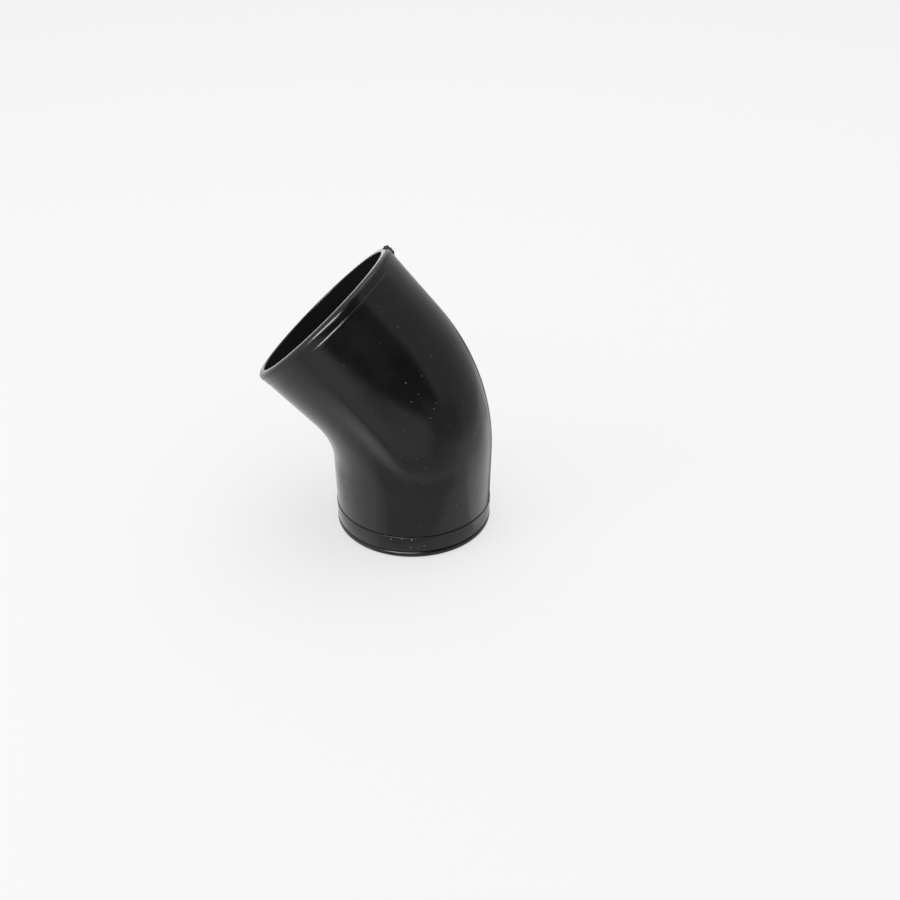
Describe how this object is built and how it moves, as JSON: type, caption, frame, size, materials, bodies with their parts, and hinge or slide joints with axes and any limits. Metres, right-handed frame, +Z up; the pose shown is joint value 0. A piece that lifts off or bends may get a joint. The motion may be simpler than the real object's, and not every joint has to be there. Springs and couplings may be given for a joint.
{
  "type": "elbow reducing coupler",
  "caption": "Black rubber 45 degree reducing elbow that joins a pipe to a wider one, with a banded small socket and a beaded large socket.",
  "frame": {"origin": "under the middle of the whole part, on the plane that the small socket's foot stands on", "axes": "+Z up along the small socket, the bend turns toward -X, and the plane of the bend is the XZ plane"},
  "size_m": [0.1456, 0.112, 0.1811],
  "materials": {
    "rubber": "satin black moulded rubber with a slight sheen, a scuffed patch low on the crook side and a few pale specks"
  },
  "bodies": {
    "root": {"elbow_coupler": "rubber"}
  },
  "joints": []
}
